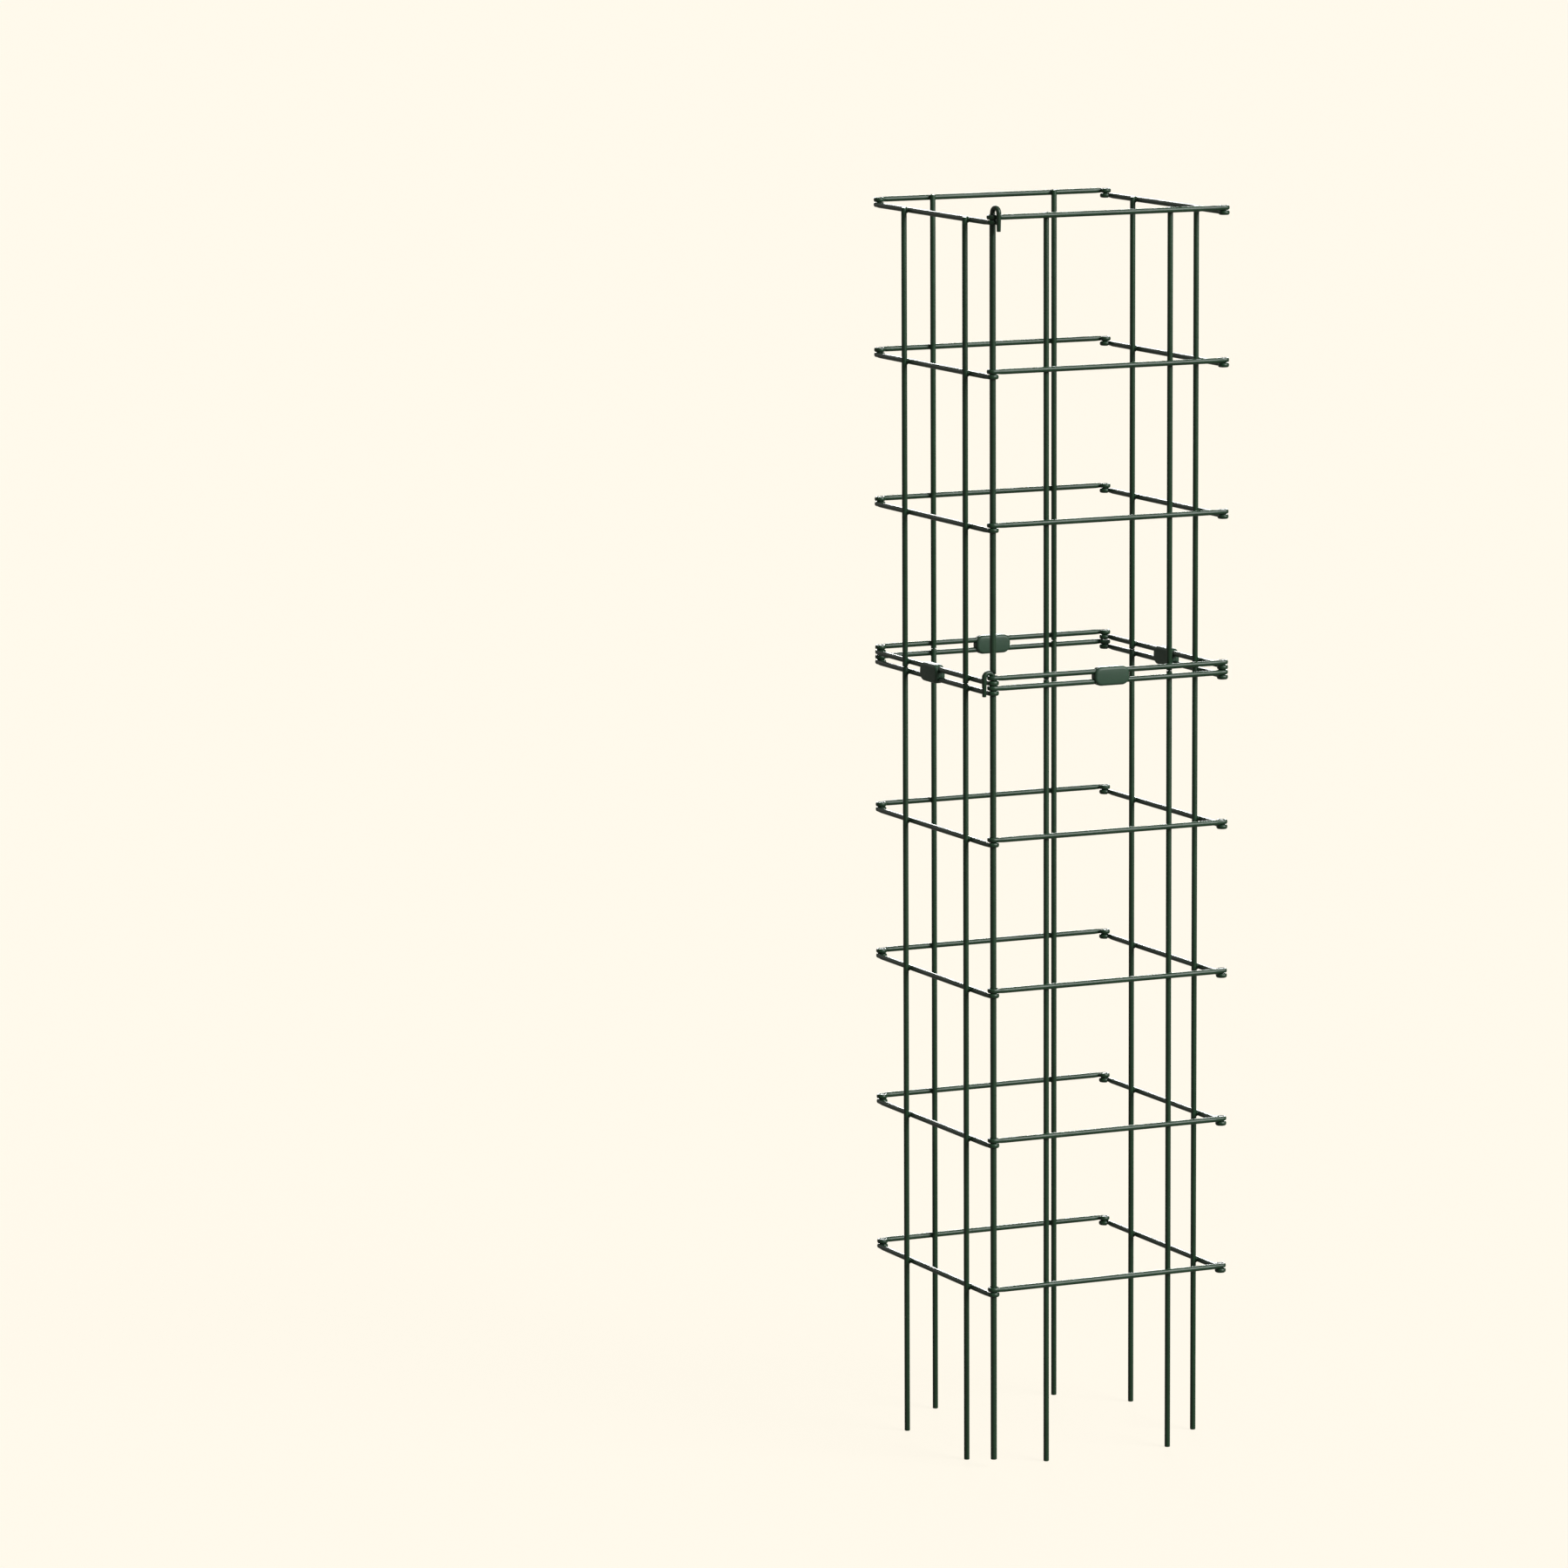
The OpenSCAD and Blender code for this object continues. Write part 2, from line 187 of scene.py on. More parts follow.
class CageStage(bpy.types.PropertyGroup):
    """Floor, light and camera."""

    backdrop: colour("Backdrop", "Pale cream of floor and background", "#fff9eb")
    floor_shade: colour("Floor shade", "Tone of the floor where it only lights the object", "#6c6a67")
    key_strength: strength("Key light", "Strength of the key light", 3.6)
    top_strength: strength("Top light", "Strength of the overhead light", 0.5)
    back_strength: strength("Back light", "Strength of the light behind", 2.0)
    side_strength: strength("Side light", "Strength of the light from the left", 0.14)
    sky_strength: strength("Sky", "Strength of the soft light all round", 0.08)
    mirror_share: bpy.props.FloatProperty(
        name="Mirror share",
        description="How brightly reflections show the backdrop",
        default=0.12,
        min=0,
        max=1,
        subtype="FACTOR",
    )
    lens: bpy.props.FloatProperty(name="Lens", description="Focal length", default=175.12, unit="CAMERA")
    camera_place: bpy.props.FloatVectorProperty(
        name="Camera place",
        description="Position of the camera",
        default=(-4.10343, -8.09396, 2.18896),
        subtype="TRANSLATION",
    )
    azimuth: angle("Azimuth", "Heading of the camera", 24.8665)
    dip: angle("Dip", "How far the camera looks down", 8.7369)
    roll: angle("Roll", "Roll of the camera", -0.3)


def add_node(tree, kind, settings=None, inputs=None):
    """Adds a node, sets its options, and sets or links its inputs."""
    node = tree.nodes.new(kind)
    for name, value in (settings or {}).items():
        setattr(node, name, value)
    for name, value in (inputs or {}).items():
        if isinstance(value, bpy.types.NodeSocket):
            tree.links.new(value, node.inputs[name])
        else:
            node.inputs[name].default_value = value
    return node


def new_material(name):
    """An empty node material, its tree, and the Object coordinates of its piece."""
    material = bpy.data.materials.new(name)
    material.use_nodes = True
    tree = material.node_tree
    tree.nodes.clear()
    coords = add_node(tree, "ShaderNodeTexCoord").outputs["Object"]
    return material, tree, coords


def finish_material(tree, shader):
    """Links the shader to the material's output."""
    add_node(tree, "ShaderNodeOutputMaterial", inputs={"Surface": shader.outputs["BSDF"]})


def per_size(millimetres):
    """Scale of a noise whose lumps are about this size."""
    return 1 / (millimetres * MM)


def pvc_coated_wire(name, light, dark, roughness):
    """PVC dip-coated steel wire: a soft sheen over dark green, faintly uneven where the coat ran."""
    material, tree, coords = new_material(name)
    # Runs of the coat, a few centimetres long, deepen the green here and there
    runs = add_node(
        tree,
        "ShaderNodeTexNoise",
        inputs={"Vector": coords, "Scale": per_size(28), "Detail": 4.0, "Roughness": 0.6},
    ).outputs["Fac"]
    # Handling dulls the coat in spots of a few millimetres
    spots = add_node(
        tree,
        "ShaderNodeTexNoise",
        inputs={"Vector": coords, "Scale": per_size(4), "Detail": 3.0, "Roughness": 0.7},
    ).outputs["Fac"]
    # Orange peel of the cured coat, about 1 mm across
    peel = add_node(
        tree,
        "ShaderNodeTexNoise",
        inputs={"Vector": coords, "Scale": per_size(1.1), "Detail": 2.0, "Roughness": 0.5},
    ).outputs["Fac"]
    tone = add_node(
        tree,
        "ShaderNodeMapRange",
        inputs={"Value": runs, "From Min": 0.35, "From Max": 0.65, "To Min": 0.0, "To Max": 1.0},
    ).outputs["Result"]
    base = add_node(
        tree,
        "ShaderNodeMix",
        settings={"data_type": "RGBA"},
        inputs={0: tone, 6: dark, 7: light},
    ).outputs[2]
    rough = add_node(
        tree,
        "ShaderNodeMapRange",
        inputs={
            "Value": spots,
            "From Min": 0.3,
            "From Max": 0.7,
            "To Min": roughness - 0.04,
            "To Max": roughness + 0.05,
        },
    ).outputs["Result"]
    bump = add_node(
        tree,
        "ShaderNodeBump",
        inputs={"Height": peel, "Strength": 0.06, "Distance": 0.08 * MM},
    ).outputs["Normal"]
    shader = add_node(
        tree,
        "ShaderNodeBsdfPrincipled",
        inputs={
            "Base Color": base,
            "Roughness": rough,
            "Normal": bump,
            "IOR": 1.53,
            "Specular IOR Level": 0.42,
        },
    )
    finish_material(tree, shader)
    return material


def moulded_polypropylene(name, light, dark):
    """Injection-moulded polypropylene: matt mid green with a fine spark-eroded grain."""
    material, tree, coords = new_material(name)
    # The melt's flow leaves slow changes of tone over about a centimetre
    flow = add_node(
        tree,
        "ShaderNodeTexNoise",
        inputs={"Vector": coords, "Scale": per_size(12), "Detail": 3.0, "Roughness": 0.6},
    ).outputs["Fac"]
    # The mould's grain is near 0.1 mm; it is drawn at 0.6 mm so that it shows
    grain = add_node(
        tree,
        "ShaderNodeTexNoise",
        inputs={"Vector": coords, "Scale": per_size(0.6), "Detail": 2.0, "Roughness": 0.5},
    ).outputs["Fac"]
    base = add_node(
        tree,
        "ShaderNodeMix",
        settings={"data_type": "RGBA"},
        inputs={0: flow, 6: dark, 7: light},
    ).outputs[2]
    rough = add_node(
        tree,
        "ShaderNodeMapRange",
        inputs={"Value": grain, "From Min": 0.3, "From Max": 0.7, "To Min": 0.4, "To Max": 0.52},
    ).outputs["Result"]
    bump = add_node(
        tree,
        "ShaderNodeBump",
        inputs={"Height": grain, "Strength": 0.2, "Distance": 0.06 * MM},
    ).outputs["Normal"]
    shader = add_node(
        tree,
        "ShaderNodeBsdfPrincipled",
        inputs={"Base Color": base, "Roughness": rough, "Normal": bump, "IOR": 1.49},
    )
    finish_material(tree, shader)
    return material


def zinc_plated_steel(name, zinc):
    """Barrel-plated zinc on peened steel: dull grey metal with small dark pits."""
    material, tree, coords = new_material(name)
    # Pits of the plating, a little under a millimetre across
    pits = add_node(
        tree,
        "ShaderNodeTexNoise",
        inputs={"Vector": coords, "Scale": per_size(0.8), "Detail": 3.0, "Roughness": 0.6},
    ).outputs["Fac"]
    pit_share = 0.6
    pit = [share * pit_share for share in zinc[:3]] + [1.0]
    base = add_node(
        tree,
        "ShaderNodeMix",
        settings={"data_type": "RGBA"},
        inputs={0: pits, 6: pit, 7: tuple(zinc)},
    ).outputs[2]
    rough = add_node(
        tree,
        "ShaderNodeMapRange",
        inputs={"Value": pits, "From Min": 0.3, "From Max": 0.7, "To Min": 0.38, "To Max": 0.58},
    ).outputs["Result"]
    shader = add_node(
        tree,
        "ShaderNodeBsdfPrincipled",
        inputs={"Base Color": base, "Roughness": rough, "Metallic": 0.9},
    )
    finish_material(tree, shader)
    return material


def sheared_steel(name, steel, rust):
    """Sheared wire end: bare steel going brown where the coat stops."""
    material, tree, coords = new_material(name)
    # Rust starts in patches of a millimetre or two
    bloom = add_node(
        tree,
        "ShaderNodeTexNoise",
        inputs={"Vector": coords, "Scale": per_size(1.5), "Detail": 4.0, "Roughness": 0.65},
    ).outputs["Fac"]
    patches = add_node(
        tree,
        "ShaderNodeMapRange",
        inputs={"Value": bloom, "From Min": 0.4, "From Max": 0.6, "To Min": 0.0, "To Max": 1.0},
    ).outputs["Result"]
    base = add_node(
        tree,
        "ShaderNodeMix",
        settings={"data_type": "RGBA"},
        inputs={0: patches, 6: steel, 7: rust},
    ).outputs[2]
    rough = add_node(
        tree,
        "ShaderNodeMapRange",
        inputs={"Value": patches, "From Min": 0.0, "From Max": 1.0, "To Min": 0.45, "To Max": 0.85},
    ).outputs["Result"]
    shader = add_node(
        tree,
        "ShaderNodeBsdfPrincipled",
        inputs={"Base Color": base, "Roughness": rough, "Metallic": 0.3},
    )
    finish_material(tree, shader)
    return material


def material_of(name):
    """The object's material of that name, made on first use."""
    found = bpy.data.materials.get(name)
    if found:
        return found
    finish = bpy.context.scene.cage_finishes
    if name == "pvc_coated_wire":
        return pvc_coated_wire(name, finish.coat, finish.coat_dark, WIRE_ROUGHNESS)
    if name == "pvc_coated_pin":
        return pvc_coated_wire(name, finish.pin_coat, finish.pin_coat_dark, PIN_ROUGHNESS)
    if name == "pvc_coated_weld":
        return pvc_coated_wire(name, finish.coat, finish.coat_dark, WELD_ROUGHNESS)
    if name == "moulded_polypropylene":
        return moulded_polypropylene(name, finish.clip, finish.clip_dark)
    if name == "zinc_plated_steel":
        return zinc_plated_steel(name, finish.zinc)
    if name == "sheared_steel":
        return sheared_steel(name, finish.cut_steel, finish.rust)
    raise ValueError(f"no material named {name}")


def joint_height(wire):
    """Height of the upper section's lowest front rail."""
    return wire.leg + 4 * wire.ring_pitch + 2 * wire.stack_pitch


def panel_drop(wire, panel):
    """The right and left panels hang one eye lower than the front and back."""
    return 0.0 if panel in ("front", "back") else wire.stack_pitch


def ring_heights(wire, section, panel):
    """Heights of a panel's rails in one section, from the lowest up."""
    lowest, count = (joint_height(wire), 4) if section == "upper" else (wire.leg, 5)
    return [lowest + wire.ring_pitch * ring - panel_drop(wire, panel) for ring in range(count)]


def stay_places(wire, panel):
    """Places of a panel's two stays along its rails."""
    shift = {"left": wire.left_stagger, "right": -wire.right_stagger}.get(panel, 0.0)
    return [side * wire.stay_spacing / 2 + shift for side in (-1, 1)]


def stay_depth(wire, panel):
    """Depth of the stays: outside the rails on the left panel, inside on the others."""
    reach = (wire.rail + wire.stay) / 2 - wire.weld_sink
    return -wire.rail_offset - reach if panel == "left" else -wire.rail_offset + reach


def deselect():
    """Leaves edit mode and deselects everything."""
    if bpy.context.object and bpy.context.object.mode != "OBJECT":
        bpy.ops.object.mode_set(mode="OBJECT")
    bpy.ops.object.select_all(action="DESELECT")


def open_ring(radius, middle, turn=(0, 0, 0)):
    """Adds a ring of edges at its place and opens it for editing, all selected."""
    deselect()
    bpy.ops.mesh.primitive_circle_add(vertices=WIRE_SIDES, radius=radius, location=middle, rotation=turn)
    bpy.ops.object.transform_apply()
    bpy.ops.object.mode_set(mode="EDIT")
    bpy.ops.mesh.select_all(action="SELECT")


def pull(step):
    """Extrudes the open end of a wire by a step."""
    bpy.ops.mesh.extrude_region_move(TRANSFORM_OT_translate={"value": tuple(step)})


def squeeze(factors, middle):
    """Resizes the open end of a wire about its middle."""
    bpy.ops.transform.resize(value=tuple(factors), center_override=tuple(middle))


def curl(turn, steps, center, axis):
    """Spins the open end of a wire round an axis, by the right-hand rule."""
    # With no window a positive spin runs clockwise
    bpy.ops.mesh.spin(steps=steps, angle=-turn, center=center, axis=axis)


def round_end(middle, along, bevel, radius, steps=4):
    """Rolls the open end of a wire over by a bevel and closes it with a face."""
    along = Vector(along)
    middle = Vector(middle)
    done, share = 0.0, 1.0
    for step in range(1, steps + 1):
        angle = math.pi / 2 * step / steps
        advance = bevel * math.sin(angle)
        wanted = 1 - bevel / radius * (1 - math.cos(angle))
        pull(along * (advance - done))
        middle += along * (advance - done)
        squeeze([wanted / share] * 3, middle)
        done, share = advance, wanted
    bpy.ops.mesh.edge_face_add()


def close_piece(name, material):
    """Leaves edit mode with normals outward, and names and coats the piece."""
    bpy.ops.mesh.select_all(action="SELECT")
    bpy.ops.mesh.normals_make_consistent(inside=False)
    bpy.ops.object.mode_set(mode="OBJECT")
    piece = bpy.context.object
    piece.name = piece.data.name = name
    piece.data.materials.clear()
    piece.data.materials.append(material_of(material))
    bpy.ops.object.shade_smooth_by_angle(angle=SMOOTH_ANGLE)
    return piece


def copy_of(piece):
    """A copy with its own mesh, selected and active."""
    deselect()
    piece.select_set(True)
    bpy.context.view_layer.objects.active = piece
    bpy.ops.object.duplicate(linked=False)
    return bpy.context.object


def join(pieces, name):
    """Joins pieces into one."""
    deselect()
    for piece in pieces:
        piece.select_set(True)
    bpy.context.view_layer.objects.active = pieces[0]
    if len(pieces) > 1:
        bpy.ops.object.join()
    joined = bpy.context.object
    joined.name = joined.data.name = name
    return joined


def set_on_panel(piece, panel, height=0.0):
    """Moves a piece from the front panel's own frame to its panel, with its place in its mesh."""
    wire = bpy.context.scene.cage_wire
    turn = math.radians(90 * PANELS.index(panel))
    home = Matrix.Rotation(turn, 3, "Z") @ Vector((0, -wire.width / 2, 0))
    deselect()
    piece.select_set(True)
    bpy.context.view_layer.objects.active = piece
    piece.rotation_euler = (0, 0, turn)
    piece.location = home + Vector((wire.frame_shift, wire.frame_shift, height))
    bpy.ops.object.transform_apply()
    return piece


def remove(pieces):
    """Deletes templates that have been copied."""
    deselect()
    for piece in pieces:
        piece.select_set(True)
    bpy.ops.object.delete()


def hand_over(piece, body, slot, *nodes):
    """Ties a finished piece to its body and hides the solids it stands for; the slot is not used."""
    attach(piece, body)
    if nodes:
        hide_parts(*nodes)


def model_rail_half(wire, name, eye_wall, eye_radius):
    """Half a rail, from the panel's middle to the eye at its +x end."""
    taper_start, taper_end, tip_round = 13 * MM, 1.2 * MM, 0.45 * MM
    taper_steps, eye_steps = 8, 30
    half = wire.width / 2
    middle = Vector((0, -wire.rail_offset, 0))
    open_ring(wire.rail / 2, middle, (0, math.pi / 2, 0))
    step = Vector((half - taper_start, 0, 0))
    pull(step)
    middle += step
    # The wire is pressed flatter as it runs into the eye
    done = 0.0
    size = Vector((1, 1, 1))
    flat = Vector((1, eye_wall / wire.rail, wire.eye_height / wire.rail))
    for index in range(1, taper_steps + 1):
        share = index / taper_steps
        ease = share * share * (3 - 2 * share)
        outward = (eye_radius - wire.rail_offset) * (ease - done)
        step = Vector(((taper_start - taper_end) / taper_steps, -outward, 0))
        pull(step)
        middle += step
        wanted = Vector((1, 1, 1)).lerp(flat, ease)
        squeeze([wanted[axis] / size[axis] for axis in range(3)], middle)
        done, size = ease, wanted
    pull((taper_end, 0, 0))
    curl(wire.eye_turn, eye_steps, (half, 0, 0), (0, 0, 1))
    end = wire.eye_turn - math.pi / 2
    tip = Vector((half + eye_radius * math.cos(end), eye_radius * math.sin(end), 0))
    round_end(tip, (-math.sin(end), math.cos(end), 0), tip_round, eye_wall / 2)
    return close_piece(name, "pvc_coated_wire")


def join_rail(start_half, end_half, name):
    """A whole rail from two halves; the start half is turned over to the -x end."""
    start, end = copy_of(start_half), copy_of(end_half)
    deselect()
    start.select_set(True)
    bpy.context.view_layer.objects.active = start
    start.scale = (-1, 1, 1)
    bpy.ops.object.transform_apply()
    join([start, end], name)
    bpy.ops.object.mode_set(mode="EDIT")
    bpy.ops.mesh.select_all(action="SELECT")
    bpy.ops.mesh.remove_doubles(threshold=NEAR)
    return close_piece(name, "pvc_coated_wire")


class CAGE_OT_model_rails(bpy.types.Operator):
    """Model the rails, each curled into an eye at both ends"""

    bl_idname = "cage.model_rails"
    bl_label = "Rails"

    def execute(self, context):
        wire = context.scene.cage_wire
        hinge = model_rail_half(wire, "hinge_half", wire.hinge_eye_wall, wire.hinge_eye_radius)
        pin = model_rail_half(wire, "pin_half", wire.pin_eye_wall, wire.pin_eye_radius)
        halves = {
            "front": (pin, hinge),
            "right": (hinge, hinge),
            "back": (hinge, hinge),
            "left": (hinge, pin),
        }
        for panel, (start, end) in halves.items():
            rail = join_rail(start, end, f"{panel}_rail")
            for section in SECTIONS:
                copies = []
                for height in ring_heights(wire, section, panel):
                    copies.append(set_on_panel(copy_of(rail), panel, height))
                piece = join(copies, f"{section}_{panel}_rail_wires")
                hand_over(piece, f"{panel}_panel", "coated_wire", f"{section}_{panel}_rails")
            remove([rail])
        remove([hinge, pin])
        return {"FINISHED"}


def model_stay(wire, place, depth, low, high, cut_foot):
    """One stay with rolled ends; a leg's foot is left as bare cut steel."""
    radius = wire.stay / 2
    middle = Vector((place, depth, (low + high) / 2))
    reach = (high - low) / 2 - wire.tip_bevel
    open_ring(radius, middle)
    pull((0, 0, reach))
    round_end(middle + Vector((0, 0, reach)), (0, 0, 1), wire.tip_bevel, radius)
    bpy.ops.mesh.select_all(action="DESELECT")
    bpy.ops.mesh.select_non_manifold()
    pull((0, 0, -reach))
    round_end(middle - Vector((0, 0, reach)), (0, 0, -1), wire.tip_bevel, radius)
    piece = close_piece("stay", "pvc_coated_wire")
    if cut_foot:
        piece.data.materials.append(material_of("sheared_steel"))
        bare_height = 0.25 * wire.tip_bevel
        for face in piece.data.polygons:
            if face.center.z < low + bare_height:
                face.material_index = 1
    return piece


class CAGE_OT_model_stays(bpy.types.Operator):
    """Model the upright stays and their legs"""

    bl_idname = "cage.model_stays"
    bl_label = "Stays"

    def execute(self, context):
        wire = context.scene.cage_wire
        for panel in PANELS:
            drop = panel_drop(wire, panel)
            split = joint_height(wire) - drop - wire.stack_pitch
            top = ring_heights(wire, "upper", panel)[-1] + wire.rail / 2
            half_gap = wire.butt_gap / 2
            spans = {"upper": (split + half_gap, top), "lower": (0.0, split - half_gap)}
            for section, (low, high) in spans.items():
                pair = [
                    model_stay(wire, place, stay_depth(wire, panel), low, high, section == "lower")
                    for place in stay_places(wire, panel)
                ]
                piece = set_on_panel(join(pair, f"{section}_{panel}_stay_wires"), panel)
                hand_over(piece, f"{panel}_panel", "coated_wire", f"{section}_{panel}_stays")
        return {"FINISHED"}


def model_weld(wire):
    """Flattened bead of coat that fills the corners of one weld."""
    width, depth, height = BEAD_SHARES
    deselect()
    bpy.ops.mesh.primitive_uv_sphere_add(
        segments=20, ring_count=12, radius=1 * MM, rotation=(math.pi / 2, 0, 0)
    )
    bpy.ops.object.transform_apply()
    bpy.ops.object.mode_set(mode="EDIT")
    bpy.ops.mesh.select_all(action="SELECT")
    squeeze((width * wire.stay / MM, depth * wire.stay / MM, height * wire.rail / MM), (0, 0, 0))
    return close_piece("weld", "pvc_coated_weld")


class CAGE_OT_model_welds(bpy.types.Operator):
    """Model the beads of coat at the welds between rails and stays"""

    bl_idname = "cage.model_welds"
    bl_label = "Welds"

    def execute(self, context):
        wire = context.scene.cage_wire
        weld = model_weld(wire)
        for panel in PANELS:
            side = -1 if panel == "left" else 1
            depth = -wire.rail_offset + side * (wire.rail - wire.weld_sink) / 2
            for section in SECTIONS:
                beads = []
                for height in ring_heights(wire, section, panel):
                    for place in stay_places(wire, panel):
                        bead = copy_of(weld)
                        bead.location = (place, depth, height)
                        bpy.ops.object.transform_apply()
                        beads.append(bead)
                piece = set_on_panel(join(beads, f"{section}_{panel}_welds"), panel)
                hand_over(piece, f"{panel}_panel", "coated_wire")
        remove([weld])
        return {"FINISHED"}


def model_rivet(wire):
    """Rivet with domed, peened ends through one pair of eyes."""
    top = wire.eye_height / 2 - wire.rivet_recess
    foot = -wire.stack_pitch - top
    radius = wire.rivet / 2
    shoulder = sum(rise for rise, _ in PEEN_STEPS) * MM
    middle = Vector((0, 0, (top + foot) / 2))
    reach = (top - foot) / 2 - shoulder
    open_ring(radius, middle)
    for way in (1, -1):
        if way < 0:
            bpy.ops.mesh.select_all(action="DESELECT")
            bpy.ops.mesh.select_non_manifold()
        along = Vector((0, 0, way))
        place = middle + along * reach
        pull(along * reach)
        for rise, size in PEEN_STEPS:
            pull(along * rise * MM)
            place += along * rise * MM
            squeeze([size] * 3, place)
        bpy.ops.mesh.edge_face_add()
    return close_piece("rivet", "zinc_plated_steel")


class CAGE_OT_model_rivets(bpy.types.Operator):
    """Model the rivets of the three hinged corners"""

    bl_idname = "cage.model_rivets"
    bl_label = "Rivets"

    def execute(self, context):
        wire = context.scene.cage_wire
        rivet = model_rivet(wire)
        for corner, panel in HINGE_CORNERS.items():
            for section in SECTIONS:
                copies = []
                for height in ring_heights(wire, section, "front"):
                    copy = copy_of(rivet)
                    copy.location = (wire.width / 2, 0, height)
                    bpy.ops.object.transform_apply()
                    copies.append(copy)
                piece = set_on_panel(join(copies, f"{section}_{corner}_rivet_heads"), panel)
                hand_over(piece, f"{panel}_panel", "plated_rivet", f"{section}_{corner}_rivets")
        remove([rivet])
        return {"FINISHED"}


def cut_or_weld(piece, other, operation):
    """Applies a boolean with another solid, which is then deleted."""
    deselect()
    piece.select_set(True)
    bpy.context.view_layer.objects.active = piece
    tool = piece.modifiers.new("shape", "BOOLEAN")
    tool.object = other
    tool.operation = operation
    tool.solver = "EXACT"
    bpy.ops.object.modifier_apply(modifier=tool.name)
    remove([other])


def rod(radius, middle, reach, turn, sides=32):
    """A round tool for cutting grooves, sockets and hollows, or for adding pegs."""
    deselect()
    bpy.ops.mesh.primitive_cylinder_add(
        vertices=sides, radius=radius, depth=reach, location=middle, rotation=turn
    )
    bpy.ops.object.transform_apply()
    return bpy.context.object


def soften_edges(piece, width):
    """Rounds the sharp edges of a piece with a small bevel."""
    deselect()
    piece.select_set(True)
    bpy.context.view_layer.objects.active = piece
    soften = piece.modifiers.new("soft_edges", "BEVEL")
    soften.width = width
    soften.segments = 2
    soften.limit_method = "ANGLE"
    soften.angle_limit = math.radians(50)
    bpy.ops.object.modifier_apply(modifier=soften.name)


def model_pin(name, foot, top, short_end, turn):
    """Pin with a half-round crook towards -y, turned about its own axis at the pin corner."""
    wire = bpy.context.scene.cage_wire
    size = bpy.context.scene.cage_pins
    neck_steps, bend_steps = 4, 20
    radius, hook, tip = size.pin / 2, size.crook / 2, size.crook_tip / 2
    bend = size.crook_spacing / 2
    bend_height = top - bend - hook
    middle = Vector((0, 0, (foot + bend_height) / 2))
    reach = (bend_height - foot) / 2
    open_ring(radius, middle)
    # Up: the shaft, its neck, the bend and the short leg
    step = Vector((0, 0, reach - size.neck))
    pull(step)
    middle += step
    share = 1.0
    for index in range(1, neck_steps + 1):
        part = index / neck_steps
        wanted = 1 + (hook / radius - 1) * part * part * (3 - 2 * part)
        step = Vector((0, 0, size.neck / neck_steps))
        pull(step)
        middle += step
        squeeze([wanted / share] * 3, middle)
        share = wanted
    curl(math.pi, bend_steps, (0, -bend, bend_height), (1, 0, 0))
    middle = Vector((0, -2 * bend, bend_height))
    step = Vector((0, 0, short_end + wire.tip_bevel - bend_height))
    pull(step)
    middle += step
    squeeze([tip / hook] * 3, middle)
    round_end(middle, (0, 0, -1), wire.tip_bevel, tip)
    # Down: the shaft and its foot
    bpy.ops.mesh.select_all(action="DESELECT")
    bpy.ops.mesh.select_non_manifold()
    # A ring above the foot keeps the foot's shading off the long shaft
    pull((0, 0, -(reach - size.neck * 2)))
    pull((0, 0, wire.tip_bevel - size.neck * 2))
    round_end((0, 0, foot + wire.tip_bevel), (0, 0, -1), wire.tip_bevel, radius)
    piece = close_piece(name, "pvc_coated_pin")
    corner = wire.frame_shift - wire.width / 2
    piece.rotation_euler = (0, 0, turn)
    piece.location = (corner, corner, 0)
    bpy.ops.object.transform_apply()
    return piece


class CAGE_OT_model_pins(bpy.types.Operator):
    """Model the upper and lower corner pins with their crooks"""

    bl_idname = "cage.model_pins"
    bl_label = "Corner pins"

    def execute(self, context):
        wire = context.scene.cage_wire
        size = context.scene.cage_pins
        joint = joint_height(wire)
        top = ring_heights(wire, "upper", "front")[-1]
        lower_top = joint + wire.eye_height / 2 + size.seat_gap + size.crook
        lower = model_pin(
            "lower_corner_pin",
            size.tip_height,
            lower_top,
            joint - size.lower_reach,
            -math.pi / 2,
        )
        hand_over(lower, "lower_pin", "coated_pin", "lower_pin")
        upper = model_pin(
            "upper_corner_pin",
            lower_top - size.foot_reach,
            top + size.upper_rise,
            top - size.upper_reach,
            size.upper_turn,
        )
        # The foot is hollowed to sit over the bend of the lower crook
        corner = wire.frame_shift - wire.width / 2
        bend, hook = size.crook_spacing / 2, size.crook / 2
        seat = (corner - bend, corner, lower_top - bend - hook)
        hollow_sides, foot_edge = 160, 0.3 * MM
        hollow = rod(bend + hook + size.rest_gap, seat, 2 * size.pin, (math.pi / 2, 0, 0), hollow_sides)
        cut_or_weld(upper, hollow, "DIFFERENCE")
        soften_edges(upper, foot_edge)
        bpy.ops.object.mode_set(mode="EDIT")
        close_piece("upper_corner_pin", "pvc_coated_pin")
        hand_over(upper, "upper_pin", "coated_pin", "upper_pin")
        return {"FINISHED"}


def select_edges(wanted):
    """Selects the edges of the piece in edit mode that pass a test on their two ends."""
    bpy.ops.mesh.select_mode(type="EDGE")
    bpy.ops.mesh.select_all(action="DESELECT")
    bpy.ops.object.mode_set(mode="OBJECT")
    mesh = bpy.context.object.data
    for edge in mesh.edges:
        edge.select = wanted(*(mesh.vertices[index].co for index in edge.vertices))
    bpy.ops.object.mode_set(mode="EDIT")


